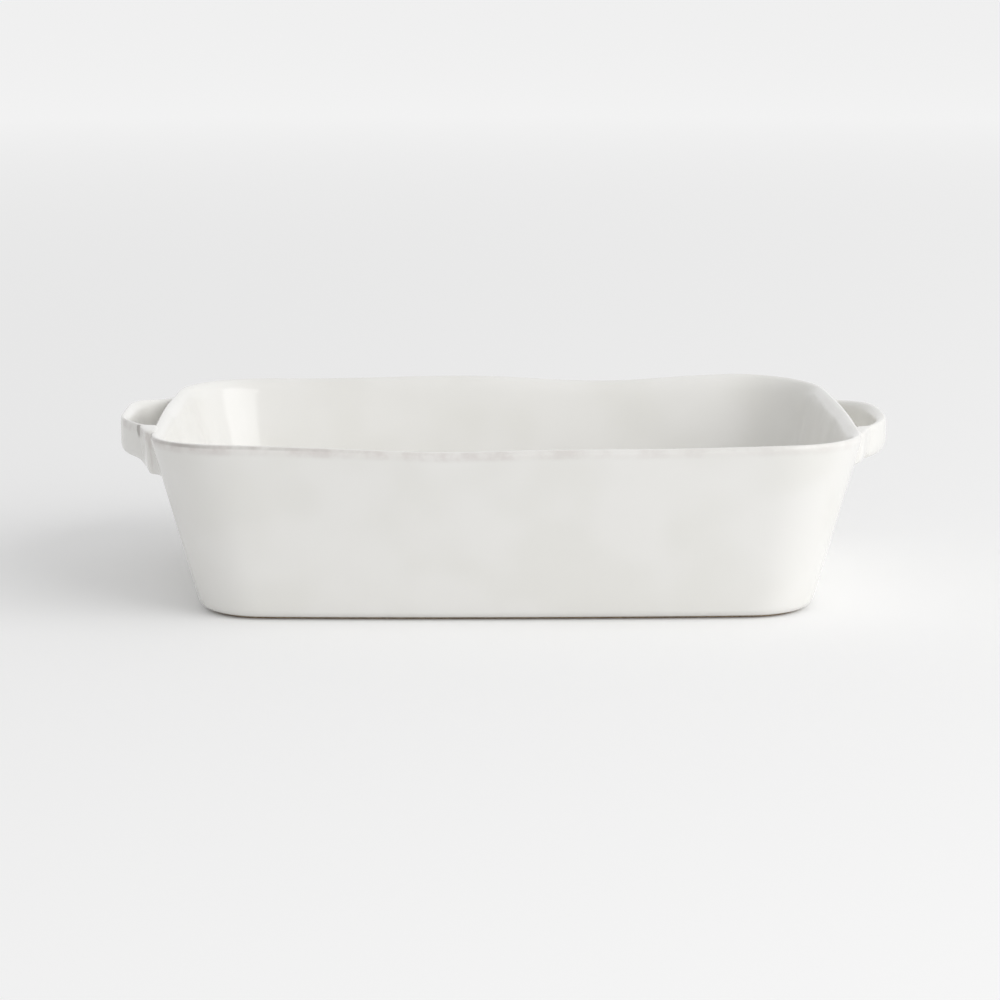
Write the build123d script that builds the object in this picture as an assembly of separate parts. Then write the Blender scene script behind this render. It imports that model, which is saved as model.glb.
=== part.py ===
# Rectangular lasagna dish in glazed stoneware, with a strap handle luted on at each end.
# Lengths are in millimetres. X runs along the dish, Y from front to back, Z is up.
# The origin is under the middle of the dish, on the surface that its foot stands on.
from build123d import *
import math
import os

# Tub, outside
dish_height = 89.0
rim_length = 352.0
rim_width = 250.0
rim_corner_radius = 50.0
base_length = 304.0
base_width = 202.0
base_corner_radius = 33.0
base_edge_radius = 4.0

# Tub, clay and inside
wall = 7.0
floor_thickness = 8.0
floor_fillet = 14.0

# Unglazed foot ring under the base
foot_height = 1.2
foot_inset = 5.0
foot_width = 6.0

# Uneven form that the hand finishing leaves, with the rim's rise or dip from left to right
side_bow = 2.6
end_bow = 1.4
rim_wave = 2.8
front_wave_shares = (0.46, 0.18, -0.20, -0.64, -0.28, -0.11, -0.14, -0.08, 0.22)
back_wave_shares = (-0.16, -0.30, -0.15, 0.12, 0.04, -0.72, -1.0, -0.10, 0.50)

# Strap handles, with reaches measured out from the rim's ends
handle_reach = 20.0
handle_run = 44.0
shoulder_span = 56.0
crease_span = 105.0
crease_reach = 7.0
crease_length = 4.0
handle_span = 145.0
foot_reach = 3.6
foot_end_radius = 2.2
strap_thickness = 6.5
strap_depth = 17.0
strap_edge_radius = 1.9
strap_belly_radius = 2.6
handle_drop = 0.8
seat_gap = 0.25
left_foot_depth = 22.0
right_foot_depth = 19.0

# Steps along each curved stretch and up each wall, and the most of a narrow face that a rounded corner takes
corner_steps = 6
end_steps = 6
round_steps = 3
bend_steps = 3
tip_steps = 2
wall_steps = 8
corner_share = 0.4
pressed_corner_share = 0.3

long_steps = len(front_wave_shares) - 1
underside = foot_height
floor_top = underside + floor_thickness
lip_radius = wall / 2
lip_centre = dish_height - lip_radius


def chord_knots(points):
    """Running length round the closed polygon of the points."""
    knots = [0.0]
    for start, end in zip(points, points[1:] + points[:1]):
        knots.append(knots[-1] + (Vector(*end) - Vector(*start)).length)
    return knots


def closed_curve(points, knots):
    """A smooth closed wire through the points. The rings of one skin share their knots."""
    return Wire([Edge.make_spline(points, periodic=True, parameters=knots)])


def arc_angles(steps):
    """Angles in radians over a quarter turn, both ends included."""
    return [math.pi / 2 * step / steps for step in range(steps + 1)]


def between(base_size, rim_size, height):
    """A size of the outer wall at one height, worked out from its sizes at the base and rim."""
    return base_size + (rim_size - base_size) * height / dish_height


def outline(inset, height):
    """Points round the tub at one height, set in from its outer wall and waved towards its rim."""
    half_length = between(base_length, rim_length, height) / 2 - inset
    half_width = between(base_width, rim_width, height) / 2 - inset
    radius = between(base_corner_radius, rim_corner_radius, height) - inset
    along = half_length - radius
    across = half_width - radius
    wave = rim_wave * max(0, height - floor_top) / (dish_height - floor_top)
    points = []
    for quarter, (side_x, side_y) in enumerate(((1, 1), (-1, 1), (-1, -1), (1, -1))):
        waves = back_wave_shares if side_y > 0 else front_wave_shares
        corner_wave = wave * (waves[-1] if side_x > 0 else waves[0])
        for turn in arc_angles(corner_steps):
            angle = quarter * math.pi / 2 + turn
            x = side_x * along + radius * math.cos(angle)
            y = side_y * across + radius * math.sin(angle)
            points.append((x, y, height + corner_wave * math.sin(angle) ** 2))
        steps = long_steps if side_x == side_y else end_steps
        for step in range(1, steps):
            share = 1 - 2 * step / steps
            if side_x == side_y:
                lift = wave * (waves[-1 - step] if side_x > 0 else waves[step])
                y = side_y * (half_width + side_bow * (1 - share ** 2))
                points.append((side_x * share * along, y, height + lift))
            else:
                x = side_x * (half_length + end_bow * (1 - share ** 2) ** 2)
                points.append((x, side_y * share * across, height))
    seam = corner_steps + long_steps // 2
    return points[seam:] + points[:seam]


def wall_rings(inset, start, end):
    """Outlines between two heights of a straight wall, both ends left out."""
    return [outline(inset, start + (end - start) * step / wall_steps) for step in range(1, wall_steps)]


def tub_rings():
    """Outlines of the tub, from the underside up over the rim and down to the floor inside."""
    base_edge = []
    floor_round = []
    for angle in arc_angles(round_steps):
        inset = base_edge_radius * (1 - math.sin(angle))
        base_edge.append(outline(inset, underside + base_edge_radius * (1 - math.cos(angle))))
        inset = wall + floor_fillet * (1 - math.cos(angle))
        floor_round.append(outline(inset, floor_top + floor_fillet * (1 - math.sin(angle))))
    lip = []
    for step in range(2 * round_steps + 1):
        angle = math.pi / 2 * step / round_steps
        inset = lip_radius * (1 - math.cos(angle))
        lip.append(outline(inset, lip_centre + lip_radius * math.sin(angle)))
    outer = wall_rings(0, underside + base_edge_radius, lip_centre)
    inner = wall_rings(wall, lip_centre, floor_top + floor_fillet)
    return base_edge + outer + lip + inner + floor_round


def foot_shape(inset):
    """The foot ring's outline, set in from the edge of the base."""
    return RectangleRounded(base_length - 2 * inset, base_width - 2 * inset, base_corner_radius - inset)


def make_tub():
    """The pressed tub, a skin drawn straight from ring to ring, with its foot ring under the base."""
    knots = chord_knots(outline(0, dish_height))
    shell = Solid.make_loft([closed_curve(ring, knots) for ring in tub_rings()], ruled=True)
    return shell + extrude(foot_shape(foot_inset) - foot_shape(foot_inset + foot_width), foot_height)


def end_wall(y, height):
    """How far out the right end wall stands at one place, in line with its slope up to the rim."""
    half_length = between(base_length, rim_length, height) / 2
    half_width = between(base_width, rim_width, height) / 2
    across = half_width - between(base_corner_radius, rim_corner_radius, height)
    return half_length + end_bow * (1 - (y / across) ** 2) ** 2


def strap_section(place, heading, pressed, depth, inset):
    """The strap's rounded outline at one place, from its free loop to where it is pressed on."""
    top = dish_height - handle_drop - inset
    bottom = top - depth + 2 * inset
    slope = (rim_length - base_length) / 2 / dish_height
    outer_top = rim_length / 2 + place.Y - inset
    outer_bottom = outer_top - pressed * slope * (top - bottom)
    free_inner = outer_top - strap_thickness
    inner_top = free_inner + pressed * (end_wall(place.X, top) + seat_gap - free_inner)
    inner_bottom = free_inner + pressed * (end_wall(place.X, bottom) + seat_gap - free_inner)
    belly = min(strap_belly_radius, corner_share * (outer_bottom - inner_bottom))
    edge = min(strap_edge_radius, corner_share * (outer_top - inner_top))
    crisp_share = 1 - pressed * (1 - pressed_corner_share)
    points = []
    for out, up in ((outer_bottom, bottom), (outer_top, top), (inner_top, top), (inner_bottom, bottom)):
        inward = outer_top - out
        points.append((outer_top - inward * math.cos(heading), place.X - inward * math.sin(heading), up))
    radii = (belly, edge, edge * crisp_share, belly * crisp_share)
    return FilletPolyline(*points, radius=radii, close=True)


def half_strap():
    """Places along half of the strap, each its place in plan and its form there."""
    run_end = Vector(handle_run / 2, handle_reach)
    shoulder = Vector(shoulder_span / 2, handle_reach)
    crease = Vector(crease_span / 2, crease_reach)
    tip = Vector(handle_span / 2, foot_reach)
    leg = (crease - shoulder).normalized()
    foot = (tip - crease).normalized()
    leg_start = shoulder + leg * (shoulder - run_end).length
    heading = math.atan2(-leg.Y, leg.X)
    places = []
    for step in range(bend_steps + 1):
        share = step / bend_steps
        bend = run_end * (1 - share) ** 2 + shoulder * 2 * share * (1 - share) + leg_start * share ** 2
        places.append((bend, heading * share, 0, 0))
    places.append((crease - leg * crease_length, heading, 0, 0))
    places.append((crease, heading / 2, 0.5, 0))
    places.append((crease + foot * crease_length, 0, 1, 0))
    for angle in arc_angles(tip_steps):
        back = foot_end_radius * (1 - math.sin(angle))
        places.append((tip - foot * back, 0, 1, foot_end_radius * (1 - math.cos(angle))))
    return places


def make_handle(foot_depth):
    """The right handle: a strap bent out into a loop and pressed on the wall at both ends."""
    front = []
    back = []
    for place, heading, pressed, inset in half_strap():
        depth = strap_depth + pressed * (foot_depth - strap_depth)
        back.append(strap_section(place, heading, pressed, depth, inset))
        mirrored = Vector(-place.X, place.Y)
        front.append(strap_section(mirrored, -heading, pressed, depth, inset))
    return Solid.make_loft(front[::-1] + back, ruled=True)


tub = make_tub()
right_handle = make_handle(right_foot_depth)
left_handle = mirror(make_handle(left_foot_depth), Plane.YZ)

os.makedirs("parts", exist_ok=True)
for name, piece in (("dish_tub", tub), ("left_handle", left_handle), ("right_handle", right_handle)):
    export_step(piece, f"parts/{name}.step")
    print(name, len(piece.solids()), "solid, volume", round(piece.volume), "valid", piece.is_valid)
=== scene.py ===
# %% [markdown]
# # A lasagna dish in glazed stoneware
# The real dish is three pieces of clay: a pressed tub and two straps. The straps are stuck on with slip while
# the clay is still damp, and then everything is glazed and fired as one. This lesson models the same three
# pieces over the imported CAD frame, gives them their glaze, and lights them as a studio would.

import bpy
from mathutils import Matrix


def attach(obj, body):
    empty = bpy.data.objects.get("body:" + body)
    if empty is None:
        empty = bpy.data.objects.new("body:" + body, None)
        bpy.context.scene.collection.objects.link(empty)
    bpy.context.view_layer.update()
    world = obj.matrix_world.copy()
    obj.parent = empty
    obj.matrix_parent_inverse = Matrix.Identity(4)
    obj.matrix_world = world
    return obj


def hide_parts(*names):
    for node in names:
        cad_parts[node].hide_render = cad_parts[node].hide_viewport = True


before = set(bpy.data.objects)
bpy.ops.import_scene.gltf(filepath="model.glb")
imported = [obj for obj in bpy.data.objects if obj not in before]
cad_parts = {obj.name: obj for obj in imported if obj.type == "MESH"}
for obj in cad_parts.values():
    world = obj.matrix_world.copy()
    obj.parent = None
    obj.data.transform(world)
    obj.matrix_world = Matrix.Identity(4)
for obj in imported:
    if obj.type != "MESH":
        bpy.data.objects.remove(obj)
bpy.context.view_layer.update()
print("CAD nodes:", sorted(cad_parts))

# %% [markdown]
# Blender works in metres and a potter thinks in millimetres, so the sizes below are in millimetres and `MM`
# turns them into metres where an operator needs them. They are the driving sizes of the CAD part.

# %% Sizes of the dish
import math

import bmesh
import bpy
from mathutils import Vector

MM = 0.001
dish_height = 89.0
rim_length = 352.0
rim_width = 250.0
rim_corner_radius = 50.0
base_length = 304.0
base_width = 202.0
base_corner_radius = 33.0
base_edge_radius = 4.0
wall = 7.0
floor_thickness = 8.0
floor_fillet = 14.0
foot_height = 1.2
foot_inset = 5.0
foot_width = 6.0
floor_top = foot_height + floor_thickness
lip_radius = wall / 2


def between(base_size, rim_size, height):
    """A size of the outer wall at one height, worked out from its sizes at the base and rim."""
    return base_size + (rim_size - base_size) * height / dish_height


def corner_centre(height):
    """How far out, along and across the dish, the middle of each round corner stands at one height."""
    radius = between(base_corner_radius, rim_corner_radius, height)
    along = between(base_length, rim_length, height) / 2 - radius
    across = between(base_width, rim_width, height) / 2 - radius
    return along, across


print("corner centres at the rim:", corner_centre(dish_height))

# %% [markdown]
# Operators act on whatever is selected, and the CAD nodes are still selected after loading. These helpers
# start a clean piece, and pick vertices in edit mode by their place, as one would by hand with a box select.

# %% Helpers for picking
def start_piece(name):
    """An empty mesh piece, open in edit mode, with nothing else selected."""
    bpy.ops.object.select_all(action="DESELECT")
    piece = bpy.data.objects.new(name, bpy.data.meshes.new(name))
    bpy.context.scene.collection.objects.link(piece)
    piece.select_set(True)
    bpy.context.view_layer.objects.active = piece
    bpy.ops.object.mode_set(mode="EDIT")
    bpy.ops.mesh.select_mode(type="VERT")
    return piece


def pick(test):
    """Selects only the vertices that pass the test, with the edges and faces between them."""
    data = bpy.context.object.data
    bpy.ops.mesh.select_all(action="DESELECT")
    mesh = bmesh.from_edit_mesh(data)
    for vertex in mesh.verts:
        vertex.select = test(vertex)
    mesh.select_flush(True)
    bmesh.update_edit_mesh(data)


def pick_place(test):
    """Picks by place, in millimetres."""
    pick(lambda vertex: test(*(vertex.co / MM)))


def apply_modifier(piece, kind, **settings):
    """Adds one modifier with its settings and applies it."""
    modifier = piece.modifiers.new(kind.title(), kind)
    for name, value in settings.items():
        setattr(modifier, name, value)
    bpy.ops.object.modifier_apply(modifier=modifier.name)


# %% [markdown]
# The tub is like a nest of rounded rectangles, one above the other: round the foot ring, up the outside,
# over the lip, and down the inside to the floor. Each outline starts as a plane. Bevelling its four corner
# vertices rounds them, subdividing its straight sides gives it places to wave, and deleting the face leaves
# the line.

# %% One outline of the tub
corner_steps = 6
long_steps = 8
end_steps = 6
straight_share = 0.9


def add_outline(inset, height, number):
    """Adds one rounded outline at a height, set in from the outer wall, and numbers its vertices."""
    along, across = corner_centre(height)
    radius = between(base_corner_radius, rim_corner_radius, height) - inset
    bpy.ops.mesh.select_all(action="DESELECT")
    bpy.ops.mesh.primitive_plane_add(size=1, location=(0, 0, height * MM))
    bpy.ops.transform.resize(value=(2 * (along + radius) * MM, 2 * (across + radius) * MM, 1))
    bpy.ops.mesh.bevel(offset=radius * MM, segments=corner_steps, affect="VERTICES")
    data = bpy.context.object.data
    mesh = bmesh.from_edit_mesh(data)
    order = mesh.verts.layers.int.get("outline") or mesh.verts.layers.int.new("outline")
    pick(lambda vertex: vertex[order] == 0)
    bpy.ops.mesh.delete(type="ONLY_FACE")
    for axis, steps in ((0, long_steps), (1, end_steps)):
        mesh = bmesh.from_edit_mesh(data)
        order = mesh.verts.layers.int["outline"]
        bpy.ops.mesh.select_all(action="DESELECT")
        for edge in mesh.edges:
            start, end = edge.verts
            is_new = start[order] == 0 and end[order] == 0
            is_straight = abs((start.co - end.co)[axis]) > straight_share * 2 * min(along, across) * MM
            edge.select_set(is_new and is_straight)
        bmesh.update_edit_mesh(data)
        bpy.ops.mesh.subdivide(number_cuts=steps - 1)
    mesh = bmesh.from_edit_mesh(data)
    order = mesh.verts.layers.int["outline"]
    for vertex in mesh.verts:
        if vertex[order] == 0:
            vertex[order] = number
    bmesh.update_edit_mesh(data)


print("points in one outline:", 4 * corner_steps + 2 * long_steps + 2 * end_steps)

# %% [markdown]
# The outlines run from the middle of the underside over the foot ring, up the wall, over the lip and down to
# the floor. No two neighbours share a height. Bridging two level outlines, one inside the other, can cross to
# the far side and turn everything beyond it inside out, and the floor under the dish would hide it. So the
# foot's inner edge stands a tenth of a millimetre higher, and its root is as much lower than the base.

# %% The list of outlines
def arc_angles(steps):
    """Angles in radians over a quarter turn, both ends included."""
    return [math.pi / 2 * step / steps for step in range(steps + 1)]


foot_inner = foot_inset + foot_width
foot_edge = 0.6
foot_rise = 0.1
foot_root = foot_height - foot_rise
round_steps = 4
lip_outer = 2.5
lip_fall = 9.0
outer_heights = (14, 28, 42, 56, 70, 80)
inner_heights = (72, 63, 53, 43, 32)
outlines = [
    (foot_inner + 2 * foot_edge, foot_height),
    (foot_inner, foot_root),
    (foot_inner - foot_edge / 2, foot_edge / 2),
    (foot_inner - foot_edge, foot_rise),
    (foot_inset + foot_edge, 0),
    (foot_inset + foot_edge / 2, foot_edge / 2),
    (foot_inset, foot_root),
]
for angle in arc_angles(round_steps):
    inset = base_edge_radius * (1 - math.sin(angle))
    outlines.append((inset, foot_height + base_edge_radius * (1 - math.cos(angle))))
for height in outer_heights:
    outlines.append((0, height))
crest_number = len(outlines) + round_steps + 1
for step in range(2 * round_steps + 1):
    angle = math.pi / 2 * step / round_steps
    across, drop = (lip_outer, lip_radius) if step <= round_steps else (wall - lip_outer, lip_fall)
    outlines.append((lip_outer - across * math.cos(angle), dish_height - drop * (1 - math.sin(angle))))
for height in inner_heights:
    outlines.append((wall, height))
for angle in arc_angles(round_steps):
    inset = wall + floor_fillet * (1 - math.cos(angle))
    outlines.append((inset, floor_top + floor_fillet * (1 - math.sin(angle))))
print("outlines:", len(outlines), "crest is number", crest_number)

# %% [markdown]
# Bridge Edge Loops joins each outline to the next, and Grid Fill closes the underside and the floor with even
# squares, which stay flat when they are smoothed. The longest edge between two outlines is printed, because a
# bridge that crosses over shows there at once, while it is as closed as a good one.

# %% The tub's cage
tub = start_piece("dish_tub_glazed")
for number, (inset, height) in enumerate(outlines, start=1):
    add_outline(inset, height, number)
for number in range(1, len(outlines)):
    order = bmesh.from_edit_mesh(tub.data).verts.layers.int["outline"]
    pick(lambda vertex: vertex[order] in (number, number + 1))
    bpy.ops.mesh.bridge_edge_loops()
for number in (1, len(outlines)):
    order = bmesh.from_edit_mesh(tub.data).verts.layers.int["outline"]
    pick(lambda vertex: vertex[order] == number)
    bpy.ops.mesh.fill_grid(span=corner_steps + end_steps, use_interp_simple=True)
bpy.ops.mesh.select_all(action="SELECT")
bpy.ops.mesh.normals_make_consistent(inside=False)
cage = bmesh.from_edit_mesh(tub.data)
order = cage.verts.layers.int["outline"]
steps_up = [edge for edge in cage.edges if edge.verts[0][order] != edge.verts[1][order]]
print("cage faces:", len(cage.faces), "clay:", round(cage.calc_volume(signed=True) * 1000, 3), "litres")
print("longest edge between outlines:", round(max(edge.calc_length() for edge in steps_up) / MM, 1), "mm")
bpy.ops.object.mode_set(mode="OBJECT")

# %% [markdown]
# A hand-finished rim is never level: here it rises and dips by up to 3 mm, most of all at the back. Every
# column of vertices up the wall is scaled in height about the floor, so a wave is strongest at the rim and
# gone at the floor. The round corners fade from their side's wave to the level ends. Subdividing will smooth
# the waves a little, so they are drawn slightly too strong.

# %% Waves of the rim
rim_wave = 3.1
front_wave_shares = (0.46, 0.18, -0.20, -0.64, -0.28, -0.11, -0.14, -0.08, 0.22)
back_wave_shares = (-0.16, -0.30, -0.15, 0.12, 0.04, -0.72, -1.0, -0.10, 0.50)
column_reach = 0.04
corner_reach = 0.1


def lift_column(wave, test):
    """Scales the picked column of the wall upwards from the floor."""
    pick_place(lambda x, y, z: z > floor_top + 1 and test(x, y, *corner_centre(z)))
    stretch = 1 + wave / (dish_height - floor_top)
    bpy.ops.transform.resize(value=(1, 1, stretch), center_override=(0, 0, floor_top * MM))


bpy.ops.object.mode_set(mode="EDIT")
for side, shares in ((-1, front_wave_shares), (1, back_wave_shares)):
    for number, share in enumerate(shares):
        place = 2 * number / long_steps - 1
        lift_column(rim_wave * share, lambda x, y, along, across:
                    y * side > across and abs(x / along - place) < column_reach)
    for end, share in ((-1, shares[0]), (1, shares[-1])):
        for step in range(1, corner_steps):
            angle = math.pi / 2 * step / corner_steps
            lift_column(rim_wave * share * math.sin(angle) ** 2, lambda x, y, along, across:
                        x * end > along and y * side > across
                        and abs(math.atan2(y * side - across, x * end - along) - angle) < corner_reach)
highest = max(vertex.co.z for vertex in bmesh.from_edit_mesh(tub.data).verts)
print("rim's highest point:", round(highest / MM, 2), "mm")

# %% [markdown]
# The long sides belly out by 2.4 mm, a little less than the solids, which leaves room for the unevenness of
# the clay, and the ends by 1.4 mm. One pull on the middle column of each side with proportional editing does
# that. The inverse square falloff makes the long bow a clean arc, and the smooth one a rounder short bow.

# %% Bows of the sides
side_bow = 2.4
end_bow = 1.4
middle_reach = 3
middle_along, middle_across = corner_centre(dish_height / 2)
for side in (-1, 1):
    pick_place(lambda x, y, z: abs(x) < middle_reach and y * side > corner_centre(z)[1])
    bpy.ops.transform.translate(value=(0, side * side_bow * MM, 0), use_proportional_edit=True,
                                proportional_edit_falloff="INVERSE_SQUARE",
                                proportional_size=middle_along * MM)
    pick_place(lambda x, y, z: abs(y) < middle_reach and x * side > corner_centre(z)[0])
    bpy.ops.transform.translate(value=(side * end_bow * MM, 0, 0), use_proportional_edit=True,
                                proportional_edit_falloff="SMOOTH",
                                proportional_size=middle_across * MM)
bpy.ops.object.mode_set(mode="OBJECT")
print("cage size in mm:", [round(size / MM, 1) for size in tub.dimensions])

# %% [markdown]
# The glaze runs thin over the rim and pools below it, so its finish depends on how far a point is from the
# crest, measured along the clay. That distance is stored on the cage as an attribute, negative outside and
# positive inside, and Subdivision Surface carries it along to every new vertex.

# %% Distance from the crest
crest_distances = [0.0]
for (inset, height), (next_inset, next_height) in zip(outlines, outlines[1:]):
    crest_distances.append(crest_distances[-1] + math.hypot(next_inset - inset, next_height - height))
at_crest = crest_distances[crest_number - 1]
numbers = [item.value for item in tub.data.attributes["outline"].data]
from_crest = tub.data.attributes.new("from_crest", "FLOAT", "POINT")
for item, number in zip(from_crest.data, numbers):
    item.value = crest_distances[number - 1] - at_crest if number else crest_distances[-1] - at_crest
print("outside from", round(-at_crest), "mm, inside to", round(crest_distances[-1] - at_crest), "mm")

# %% [markdown]
# Two levels of Subdivision Surface turn the cage into smooth clay. Pressed clay is never quite flat, so a
# Displace modifier with a soft cloud texture moves the walls by a fraction of a millimetre. A vertex group
# keeps it away from the foot ring, which a potter levels so that the dish doesn't rock.

# %% Smooth, slightly uneven clay
swell_size = 55
swell_height = 0.55
level_below = 4
fully_uneven = 20


def soften(piece, levels):
    """Smooths a finished cage and shades it smooth."""
    bpy.ops.object.select_all(action="DESELECT")
    piece.select_set(True)
    bpy.context.view_layer.objects.active = piece
    apply_modifier(piece, "SUBSURF", levels=levels, render_levels=levels)
    bpy.ops.object.shade_smooth()


soften(tub, 2)
uneven = tub.vertex_groups.new(name="uneven")
for vertex in tub.data.vertices:
    weight = min(max((vertex.co.z / MM - level_below) / (fully_uneven - level_below), 0), 1)
    uneven.add([vertex.index], weight, "REPLACE")
swells = bpy.data.textures.new("pressed_clay", "CLOUDS")
swells.noise_scale = swell_size * MM
swells.noise_depth = 1
apply_modifier(tub, "DISPLACE", texture=swells, texture_coords="LOCAL", strength=swell_height * MM,
               mid_level=0.5, vertex_group="uneven")
tub.vertex_groups.clear()
print("tub faces:", len(tub.data.polygons), "size:", [round(size / MM, 1) for size in tub.dimensions])

# %% [markdown]
# A strap is pulled from clay as a bar, bent into a loop and pressed on the wall at both ends. It is modelled
# in the same way: a rounded end face starts at the middle of the loop, and each extrude draws the bar out to
# the next place, where its vertices are dragged to their spots. Where the strap is pressed on, its inner side
# spreads into a skirt that sinks into the wall, as clay does under a thumb. The left strap is a little deeper
# than the right one and the far feet sit lower, as in the photo.

# %% Sizes of the straps
handle_reach = 20.0
shoulder_span = 56.0
crease_span = 105.0
crease_reach = 7.0
handle_span = 145.0
foot_lean = 0.14
strap_thickness = 6.5
strap_depth = 17.0
handle_drop = 0.8
left_stretch = 1.075
back_drop = 3.4
back_drop_size = 48
back_foot_length = 6
tip_inset = 0.7
top_round = 1.3
strap_top = dish_height - handle_drop


def end_wall(y, height):
    """How far out the right end wall stands at one place."""
    half_length = between(base_length, rim_length, height) / 2
    return half_length + end_bow * (1 - min(abs(y) / middle_across, 1) ** 2) ** 2


print("end wall at the straps' top:", round(end_wall(0, strap_top), 1), "mm out")

# %% [markdown]
# One section of the strap is a ring of 14 points. On the free loop it is a rounded bar with a broad soft edge
# on its inner top, where fingers have smoothed it. On a foot the same points lie along the end wall, so a
# section in between is a blend of the two. The profiles are in millimetres, judged from the photo.

# %% One section of the strap
def free_profile(depth, slant):
    """Points round the free strap, each as how far in and how far down from its top outer edge."""
    top = top_round
    belly = 3.4
    inner = 2.2
    inside = strap_thickness
    return [(0, depth / 2), (0, depth - belly), (0.25 * belly, depth - 0.25 * belly), (belly, depth),
            (inside - inner, depth), (inside - 0.25 * inner, depth - 0.25 * inner), (inside, depth - inner),
            (inside, depth / 2),
            (inside - 0.5 * slant, 5.0), (inside - 0.9 - 0.8 * slant, 1.5), (inside - 3.4 - 0.5 * slant, 0.1),
            (top, 0), (0.22 * top, 0.22 * top), (0, top)]


def pressed_profile(stand, depth, skirt):
    """Points round a foot, each as how far it stands off the wall's line and how far down it is."""
    top = top_round
    belly = min(2.6, stand * 0.5)
    low_stand = stand + foot_lean * depth
    return [(stand + foot_lean * depth / 2, depth / 2), (low_stand, depth - belly),
            (low_stand - 0.25 * belly, depth - 0.25 * belly), (low_stand - belly, depth),
            (skirt * 0.5, depth + 0.1 * skirt), (-0.1, depth + 0.5 * skirt), (-1.2, depth + 1.3 * skirt),
            (-1.8, depth / 2),
            (-4.0, 1.5), (-2.9, -0.35), (-0.6, -0.1),
            (stand - top - 0.3, 0), (stand - 0.22 * top, 0.22 * top), (stand, top)]


def section_places(y, reach, pressed, depth, skirt, slant, shrink=0.0, flare=0.0):
    """Places of one section's vertices in millimetres, from the free loop to the pressed foot."""
    outer = rim_length / 2 + reach
    stand = outer - end_wall(y, strap_top) - shrink
    places = []
    free = free_profile(depth, slant)
    foot = pressed_profile(stand, depth, skirt)
    for (inward, down), (off, foot_down) in zip(free, foot):
        foot_down = foot_down + shrink * (1 - 2 * foot_down / depth)
        foot_x = end_wall(y, strap_top - foot_down) + off
        x = (outer - inward) * (1 - pressed) + foot_x * pressed
        z = strap_top - down * (1 - pressed) - foot_down * pressed
        spread = flare * max(0, 1 - max(off, 0) / (0.6 * stand)) ** 2
        places.append((x, y + spread, z))
    return places


print("points in one section:", len(free_profile(strap_depth, 0)))

# %% [markdown]
# Sections stand close together where the strap bends, at the crease and at the tip of the foot, and further
# apart between them. At the tip the section shrinks and its skirt flares, which closes the foot softly.

# %% The strap's path
bend_steps = 4
leg_places = ((0.35, 0), (0.7, 0.05), (0.93, 0.35))
crease_pressed, crease_deepened = 0.75, 0.85
foot_places = (0.07, 0.35, 0.65, 0.88)
tip_places = ((0.97, 0.3, 0.6), (1.0, 1.1, 1.6))


def strap_stations(depth, foot_depth, skirt, run, foot_reach, slant):
    """Sections from the middle of the loop to the tip of a foot."""
    stations = []
    for y in (0, run / 3):
        stations.append(section_places(y, handle_reach, 0, depth, skirt, slant))
    run_end = Vector((run / 2, handle_reach))
    shoulder = Vector((shoulder_span / 2, handle_reach))
    crease = Vector((crease_span / 2, crease_reach))
    tip = Vector((handle_span / 2, foot_reach))
    leg_start = shoulder + (crease - shoulder).normalized() * (shoulder - run_end).length
    for step in range(bend_steps + 1):
        share = step / bend_steps
        bend = run_end * (1 - share) ** 2 + shoulder * 2 * share * (1 - share) + leg_start * share ** 2
        stations.append(section_places(*bend, 0, depth, skirt, slant))
    for share, pressed in leg_places:
        place = leg_start.lerp(crease, share)
        stations.append(section_places(*place, pressed, depth + pressed * (foot_depth - depth), skirt, slant))
    crease_depth = depth + crease_deepened * (foot_depth - depth)
    stations.append(section_places(*crease, crease_pressed, crease_depth, skirt, slant))
    for share in foot_places:
        stations.append(section_places(*crease.lerp(tip, share), 1, foot_depth, skirt, slant))
    for share, shrink, flare in tip_places:
        stations.append(section_places(*crease.lerp(tip, share), 1, foot_depth, skirt, slant,
                                       shrink=shrink, flare=flare * skirt / 2))
    return stations


print("sections on a foot:", len(foot_places) + len(tip_places))

# %% [markdown]
# Only half of each strap is drawn, from the middle of the loop to a foot, and Mirror makes the other half. In
# the photo the far half hangs a little lower, so it is then pulled down with proportional editing. The left
# strap is drawn on the right too and scaled by -1 along the dish. That turns its faces inside out, so they
# are flipped back.

# %% Drawing the strap out
def drag_end(places):
    """Drags the vertices of the strap's open end, one by one, to their places."""
    data = bpy.context.object.data
    mesh = bmesh.from_edit_mesh(data)
    order = mesh.verts.layers.int["corner"]
    ends = sorted((vertex[order], vertex.index) for vertex in mesh.verts if vertex.select)
    for (_, index), place in zip(ends, places):
        mesh = bmesh.from_edit_mesh(data)
        mesh.verts.ensure_lookup_table()
        offset = Vector(place) * MM - mesh.verts[index].co
        bpy.ops.mesh.select_all(action="DESELECT")
        mesh.verts[index].select_set(True)
        bpy.ops.transform.translate(value=offset)
    indices = {index for _, index in ends}
    pick(lambda vertex: vertex.index in indices)


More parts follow.
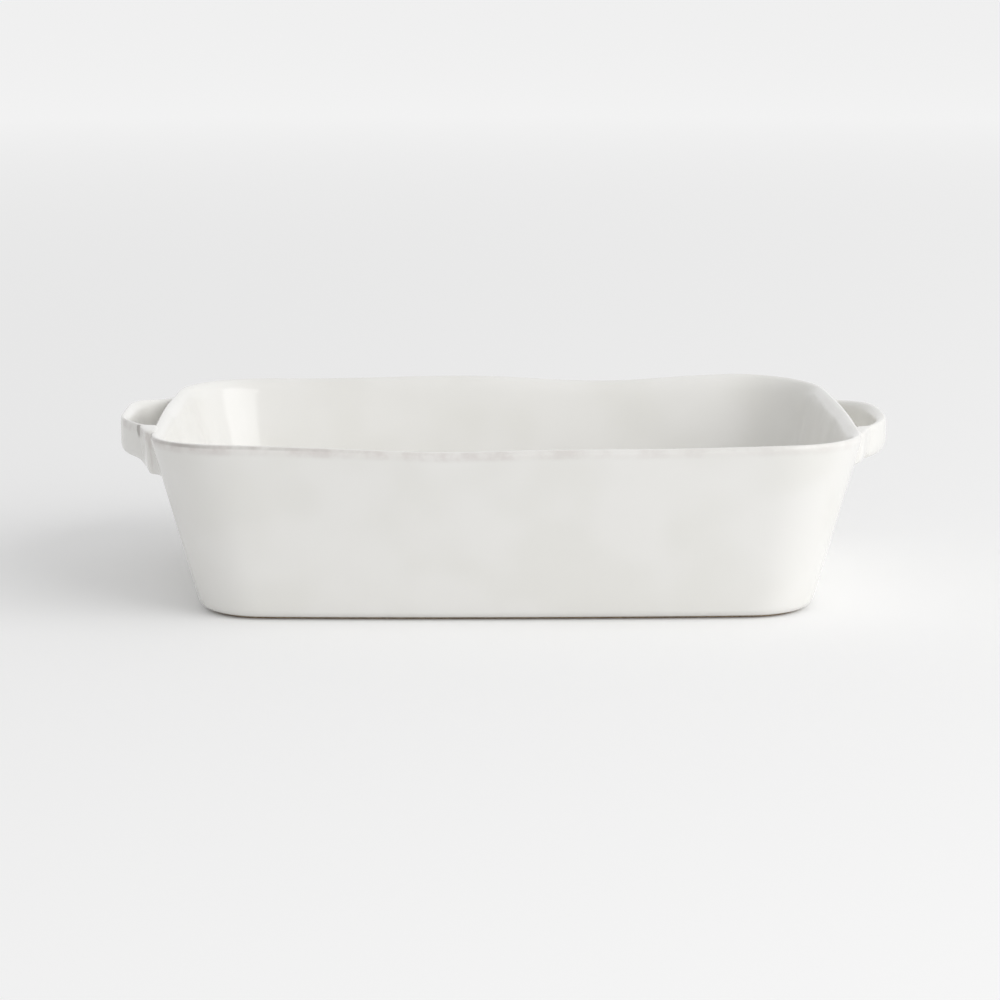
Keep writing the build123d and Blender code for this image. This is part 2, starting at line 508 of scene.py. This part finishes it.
def add_strap(name, foot_depth, skirt, run, foot_reach, slant):
    """Half a strap drawn out from the middle, mirrored to a whole one and closed."""
    strap = start_piece(name)
    stations = strap_stations(strap_depth, foot_depth, skirt, run, foot_reach, slant)
    bpy.ops.mesh.primitive_circle_add(vertices=len(stations[0]), radius=strap_thickness * MM,
                                      fill_type="NGON")
    mesh = bmesh.from_edit_mesh(strap.data)
    order = mesh.verts.layers.int.new("corner")
    for number, vertex in enumerate(mesh.verts, start=1):
        vertex[order] = number
    bmesh.update_edit_mesh(strap.data)
    bpy.ops.mesh.select_all(action="SELECT")
    drag_end(stations[0])
    for places in stations[1:]:
        bpy.ops.mesh.extrude_region_move()
        drag_end(places)
    bpy.ops.mesh.inset(thickness=tip_inset * MM)
    pick_place(lambda x, y, z: abs(y) < 0.01)
    bpy.ops.mesh.delete(type="ONLY_FACE")
    bpy.ops.mesh.select_all(action="SELECT")
    bpy.ops.mesh.normals_make_consistent(inside=False)
    bpy.ops.object.mode_set(mode="OBJECT")
    apply_modifier(strap, "MIRROR", use_axis=(False, True, False), use_clip=True, merge_threshold=0.01 * MM)
    bpy.ops.object.mode_set(mode="EDIT")
    pick_place(lambda x, y, z: y > handle_span / 2 - back_foot_length)
    bpy.ops.transform.translate(value=(0, 0, -back_drop * MM), use_proportional_edit=True,
                                proportional_edit_falloff="SMOOTH", proportional_size=back_drop_size * MM)
    bpy.ops.object.mode_set(mode="OBJECT")
    return strap


right_strap = add_strap("right_strap_glazed", foot_depth=16.0, skirt=3.0, run=18.0, foot_reach=1.3, slant=0.0)
left_strap = add_strap("left_strap_glazed", foot_depth=20.5, skirt=2.0, run=32.0, foot_reach=2.7, slant=2.0)
bpy.ops.object.mode_set(mode="EDIT")
bpy.ops.mesh.select_all(action="SELECT")
bpy.ops.transform.resize(value=(-1, 1, left_stretch), center_override=(0, 0, (strap_top - strap_depth) * MM))
bpy.ops.mesh.flip_normals()
bpy.ops.object.mode_set(mode="OBJECT")
print("straps' cages:", len(right_strap.data.polygons), "and", len(left_strap.data.polygons), "faces")

# %% [markdown]
# Glaze creeps off sharp edges, and a dark line is painted in the left strap's creases as painted shade, where
# the crease lies in shadow. Both follow the strap's own points, so each cage stores how worn every point is,
# by its number round the section, and where the crease shade is painted. Subdivision Surface then carries
# both along, as it does with the distance from the crest.

# %% Worn edges and the painted crease shade
crease_reach_along = 1.2
edge_shares = {12: 0.6, 13: 1.0, 14: 0.8, 2: 0.3, 3: 0.7, 4: 0.3, 11: 0.4, 10: 0.3}
for strap in (left_strap, right_strap):
    corners = [item.value for item in strap.data.attributes["corner"].data]
    worn = strap.data.attributes.new("worn_edge", "FLOAT", "POINT")
    crease_shade_mask = strap.data.attributes.new("crease_shade_mask", "FLOAT", "POINT")
    for vertex, corner in zip(strap.data.vertices, corners):
        from_crease = abs(abs(vertex.co.y / MM) - crease_span / 2)
        worn.data[vertex.index].value = edge_shares.get(corner, 0)
        # Painted shade goes on the left strap's creases, where they lie in shadow.
        if strap is left_strap and from_crease < crease_reach_along and corner in (13, 14):
            crease_shade_mask.data[vertex.index].value = 1
for strap, rounds in ((left_strap, 1), (right_strap, 4)):
    bpy.context.view_layer.objects.active = strap
    apply_modifier(strap, "SMOOTH", factor=0.5, iterations=rounds)
    soften(strap, 3)
    print(strap.name, len(strap.data.polygons), "faces")

# %% [markdown]
# Materials start from what the real thing is. One function turns the hex colours of a paint chart to linear
# light, and one adds a node with its settings and links. Everything else is made with these two.

# %% Helpers for materials
def linear(hex_colour):
    """An sRGB hex colour as linear red, green, blue and alpha."""
    channels = [int(hex_colour[start:start + 2], 16) / 255 for start in (1, 3, 5)]
    return [channel / 12.92 if channel <= 0.04045 else ((channel + 0.055) / 1.055) ** 2.4
            for channel in channels] + [1]


def add_node(tree, kind, inputs, **settings):
    """Adds a node with its settings, and fills or links its inputs."""
    node = tree.nodes.new(kind)
    for name, value in settings.items():
        setattr(node, name, value)
    for name, value in inputs.items():
        if isinstance(value, bpy.types.NodeSocket):
            tree.links.new(value, node.inputs[name])
        else:
            node.inputs[name].default_value = value
    return node


def new_material(name):
    """An empty node material and its node tree."""
    material = bpy.data.materials.new(name)
    material.use_nodes = True
    material.node_tree.nodes.clear()
    return material, material.node_tree


print("the chart's middle grey in linear light:", round(linear("#808080")[0], 3))

# %% [markdown]
# The glaze is a glossy white stoneware glaze, fired on a pinkish grey clay. Its gloss gives the eye soft
# bright bands along the corners, rippled a little because fired glaze is never quite level. It is never one
# white: it clouds over some 4 cm and breaks to the clay's colour on edges where it runs thin. A dark line is
# painted just under the rim's crest and in the left strap's creases, which is painted shade. How far each of
# these shows is a product of smooth steps, for example of the distance from the crest, of the place along the
# dish, and of patches of about a centimetre. They are strongest at the left end, away from the lamp: the
# painted shade deepens there, and the thin glaze is painted paler towards the lit right end, which is painted
# light.

# %% Patches and how far a finish shows
def patches(tree, size, detail, grain=0.5):
    """Soft patches of about one size in millimetres, on the piece's own coordinates."""
    place = add_node(tree, "ShaderNodeTexCoord", {}).outputs["Object"]
    texture = add_node(tree, "ShaderNodeTexNoise", {
        "Vector": place, "Scale": 1 / (size * MM), "Detail": detail, "Roughness": grain})
    return texture.outputs["Fac"]


def along_dish(tree):
    """The place along the dish, in metres to the right."""
    place = add_node(tree, "ShaderNodeTexCoord", {}).outputs["Object"]
    return add_node(tree, "ShaderNodeSeparateXYZ", {"Vector": place}).outputs["X"]


def coverage(tree, steps):
    """How far a finish shows at a point: smooth steps multiplied, each over a range of its value."""
    share = 1.0
    for value, low, high, least, most in steps:
        step = add_node(tree, "ShaderNodeMapRange", {
            "Value": value, "From Min": low, "From Max": high, "To Min": least, "To Max": most},
            interpolation_type="SMOOTHSTEP")
        product = add_node(tree, "ShaderNodeMath", {
            0: share, 1: step.outputs["Result"]}, operation="MULTIPLY")
        share = product.outputs["Value"]
    return share


# %% Thin glaze, and painted shade on the rim and creases
def painted_rim_shade(tree):
    """A thin dark line just outside the crest, painted shade under the lip, strongest towards the shaded left
    end.
    """
    distance = add_node(tree, "ShaderNodeAttribute", {}, attribute_name="from_crest").outputs["Fac"]
    return coverage(tree, [
        (distance, -3.4, -2.4, 0.0, 1.0),
        (distance, -0.7, -1.6, 0.0, 1.0),
        (along_dish(tree), -40 * MM, -178 * MM, 0.05, 0.42),
        (patches(tree, 14, 3, 0.6), 0.3, 0.6, 0.4, 1.0)])


def rim_thin_glaze_and_painted_light(tree):
    """How thin the glaze is round the rim, patchy and strongest just under the crest outside, and painted
    paler towards the lit right end, which is painted light.
    """
    distance = add_node(tree, "ShaderNodeAttribute", {}, attribute_name="from_crest").outputs["Fac"]
    return coverage(tree, [
        (distance, -7.5, -2.6, 0.0, 1.0),
        (distance, -0.4, -1.6, 0.0, 1.0),
        (patches(tree, 11, 4, 0.6), 0.36, 0.70, 0.15, 0.6),
        # Painted light: the thin glaze fades towards the lit right end.
        (along_dish(tree), 130 * MM, -60 * MM, 0.45, 1.0)])


def strap_thin_glaze_and_painted_light(tree):
    """How thin the glaze is on the straps' edges, painted paler on the lit right strap, which is painted
    light.
    """
    edge = add_node(tree, "ShaderNodeAttribute", {}, attribute_name="worn_edge").outputs["Fac"]
    return coverage(tree, [
        (edge, 0.35, 0.85, 0.0, 1.0),
        (patches(tree, 9, 3, 0.6), 0.42, 0.68, 0.05, 0.5),
        # Painted light: the thin glaze fades on the lit right strap.
        (along_dish(tree), 130 * MM, -60 * MM, 0.2, 1.0)])


def painted_crease_shade(tree):
    """Painted shade: a dark line in the crease of a strap."""
    crease = add_node(tree, "ShaderNodeAttribute", {}, attribute_name="crease_shade_mask").outputs["Fac"]
    return coverage(tree, [(crease, 0.3, 0.7, 0.0, 0.6)])


# %% Glazed stoneware
glaze_white = "#edece9"
glaze_cloud = "#e9e8e4"
thin_glaze = "#cbc2bf"
# A greyish brown painted as shade in the rim's dark line and the left creases.
painted_shade_colour = "#756d67"
cloud_size = 42
ripple_size = 16
ripple_height = 0.10


def glazed_stoneware(name, thin, dark):
    """Warm white glaze that breaks to pinkish grey where it runs thin, and to a dark painted shade on sharp
    lines.
    """
    material, tree = new_material(name)
    colour = linear(glaze_white)
    clouds = coverage(tree, [(patches(tree, cloud_size, 1), 0.36, 0.66, 0.0, 1.0)])
    for other, share in ((glaze_cloud, clouds), (thin_glaze, thin(tree)), (painted_shade_colour, dark(tree))):
        colour = add_node(tree, "ShaderNodeMix", {0: share, 6: colour, 7: linear(other)},
                          data_type="RGBA").outputs[2]
    ripple = add_node(tree, "ShaderNodeBump", {
        "Height": patches(tree, ripple_size, 2), "Distance": ripple_height * MM, "Strength": 1.0})
    shader = add_node(tree, "ShaderNodeBsdfPrincipled", {
        "Base Color": colour, "Roughness": 0.15, "IOR": 1.5, "Normal": ripple.outputs["Normal"]})
    add_node(tree, "ShaderNodeOutputMaterial", {"Surface": shader.outputs["BSDF"]})
    return material


tub.data.materials.append(glazed_stoneware("white_glaze_on_stoneware", rim_thin_glaze_and_painted_light, painted_rim_shade))
strap_glaze = glazed_stoneware("white_glaze_on_straps", strap_thin_glaze_and_painted_light, painted_crease_shade)
for strap in (left_strap, right_strap):
    strap.data.materials.append(strap_glaze)
print("glazes:", [material.name for material in bpy.data.materials if "glaze_on" in material.name])

# %% [markdown]
# A foot ring is wiped clean of glaze before firing, or the dish would stick to the kiln shelf. So the ring is
# bare stoneware: buff, matt and finely grained. Real grain is finer than the 1.2 mm drawn here, which is as
# coarse as it needs to be to show.

# %% Bare stoneware foot
buff_clay = "#b9a58c"
dark_grain = "#9d8870"
grain_size = 1.2
foot_share = 0.85


def bare_stoneware():
    """Unglazed clay: buff, matt and finely grained."""
    material, tree = new_material("bare_stoneware")
    grains = coverage(tree, [(patches(tree, grain_size, 4, 0.7), 0.4, 0.62, 0.0, 1.0)])
    grain = add_node(tree, "ShaderNodeMix", {
        0: grains, 6: linear(buff_clay), 7: linear(dark_grain)}, data_type="RGBA").outputs[2]
    shader = add_node(tree, "ShaderNodeBsdfPrincipled", {"Base Color": grain, "Roughness": 0.85})
    add_node(tree, "ShaderNodeOutputMaterial", {"Surface": shader.outputs["BSDF"]})
    return material


tub.data.materials.append(bare_stoneware())
for face in tub.data.polygons:
    if face.center.z < foot_share * foot_height * MM:
        face.material_index = 1
bare_faces = [face for face in tub.data.polygons if face.material_index == 1]
bare_area = sum(face.area for face in bare_faces) / MM ** 2
facing_down = sum(face.normal.z < 0 for face in bare_faces)
print("bare clay:", round(bare_area), "square mm,", facing_down, "of", len(bare_faces), "faces facing down")

# %% [markdown]
# The dish stands on a wide sheet of matt white paper. In the photo the paper brightens away from the dish, as
# it does under a large lamp. Only the camera and glossy reflections see that extra light, so it brightens the
# background and never the dish, and the shadow stays.

# %% The floor
floor_size = 80
paper_white = "#f8f8f8"
glow_start, glow_end = 0.22, 4.5
least_glow, most_glow = 0.035, 0.25


def white_paper():
    """Matt white paper that the camera sees a little lighter far from the dish."""
    material, tree = new_material("white_paper_sweep")
    place = add_node(tree, "ShaderNodeTexCoord", {})
    distance = add_node(tree, "ShaderNodeVectorMath", {0: place.outputs["Object"]}, operation="LENGTH")
    far = add_node(tree, "ShaderNodeMapRange", {
        "Value": distance.outputs["Value"], "From Min": glow_start, "From Max": glow_end,
        "To Min": least_glow, "To Max": most_glow})
    ray = add_node(tree, "ShaderNodeLightPath", {})
    seen = add_node(tree, "ShaderNodeMath", {
        0: ray.outputs["Is Camera Ray"], 1: ray.outputs["Is Glossy Ray"]}, operation="MAXIMUM")
    strength = add_node(tree, "ShaderNodeMath", {
        0: far.outputs["Result"], 1: seen.outputs["Value"]}, operation="MULTIPLY")
    glow = add_node(tree, "ShaderNodeEmission", {"Strength": strength.outputs["Value"]})
    paper = add_node(tree, "ShaderNodeBsdfDiffuse", {"Color": linear(paper_white)})
    both = add_node(tree, "ShaderNodeAddShader", {0: paper.outputs["BSDF"], 1: glow.outputs["Emission"]})
    add_node(tree, "ShaderNodeOutputMaterial", {"Surface": both.outputs["Shader"]})
    return material


bpy.ops.object.select_all(action="DESELECT")
bpy.ops.mesh.primitive_plane_add(size=floor_size)
floor = bpy.context.object
floor.name = "paper_floor"
floor.data.materials.append(white_paper())
print("floor:", floor_size, "m wide")

# %% [markdown]
# One large soft lamp stands low at the front right, so the dish throws a long soft shadow to the left, as in
# the photo. Its size and height are a balance: a smaller lamp sharpens the shadow, but the glaze on the right
# then burns out. The rest of the light is an even white surround, a little dimmer from the left.

# %% Light
key_place = (2.4, -1.55, 1.55)
key_target = (0, 0, 0.05)
key_size = (3.2, 2.6)
key_watts = 55
left_level, right_level = 0.56, 0.76


def add_area_light(name, place, target, size, energy):
    """A rectangular area light at one place, turned to face another."""
    light = bpy.data.lights.new(name, "AREA")
    light.shape = "RECTANGLE"
    light.size, light.size_y = size
    light.energy = energy
    lamp = bpy.data.objects.new(name, light)
    bpy.context.scene.collection.objects.link(lamp)
    lamp.location = place
    lamp.rotation_euler = (Vector(target) - Vector(place)).to_track_quat("-Z", "Y").to_euler()


add_area_light("key", key_place, key_target, key_size, key_watts)
world = bpy.data.worlds.new("studio")
bpy.context.scene.world = world
world.use_nodes = True
world.node_tree.nodes.clear()
ray = add_node(world.node_tree, "ShaderNodeLightPath", {})
seen = add_node(world.node_tree, "ShaderNodeMath", {
    0: ray.outputs["Is Camera Ray"], 1: ray.outputs["Is Glossy Ray"]}, operation="MAXIMUM")
heading = add_node(world.node_tree, "ShaderNodeTexCoord", {}).outputs["Generated"]
sideways = add_node(world.node_tree, "ShaderNodeSeparateXYZ", {"Vector": heading}).outputs["X"]
lit = add_node(world.node_tree, "ShaderNodeMapRange", {
    "Value": sideways, "From Min": -1.0, "To Min": left_level, "To Max": right_level})
level = add_node(world.node_tree, "ShaderNodeMapRange", {
    "Value": seen.outputs["Value"], "To Min": lit.outputs["Result"], "To Max": 1.0})
surround = add_node(world.node_tree, "ShaderNodeBackground", {
    "Color": linear("#ffffff"), "Strength": level.outputs["Result"]})
add_node(world.node_tree, "ShaderNodeOutputWorld", {"Surface": surround.outputs["Background"]})
print("key lamp:", key_watts, "W at", round(Vector(key_place).length, 2), "m")

# %% [markdown]
# The camera's place, target and focal length come from fitting the dish's outline to the photo: 1.56 m from
# the dish, 23 cm above its rim, looking a little down and almost square to the front. The view transform is
# Standard, so that a colour renders about as it is written.

# %% Camera
camera_lens = 108.3
camera_place = Vector((-22.1, -1536.5, 320.7)) * MM
camera_target = Vector((-2.28, 0.03, 41.38)) * MM
camera_data = bpy.data.cameras.new("camera")
camera_data.lens = camera_lens
camera_data.sensor_width = 36
camera = bpy.data.objects.new("camera", camera_data)
bpy.context.scene.collection.objects.link(camera)
camera.location = camera_place
camera.rotation_euler = (camera_target - camera_place).to_track_quat("-Z", "Y").to_euler()
bpy.context.scene.camera = camera
bpy.context.scene.view_settings.view_transform = "Standard"
print("camera:", round((camera_target - camera_place).length, 2), "m from its target")

# %% [markdown]
# Each clay piece takes the place of its CAD node and rides on the one body that the part has.

# %% Pieces in place of the CAD nodes
for piece, node in ((tub, "dish_tub"), (left_strap, "left_handle"), (right_strap, "right_handle")):
    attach(piece, "root")
    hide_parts(node)
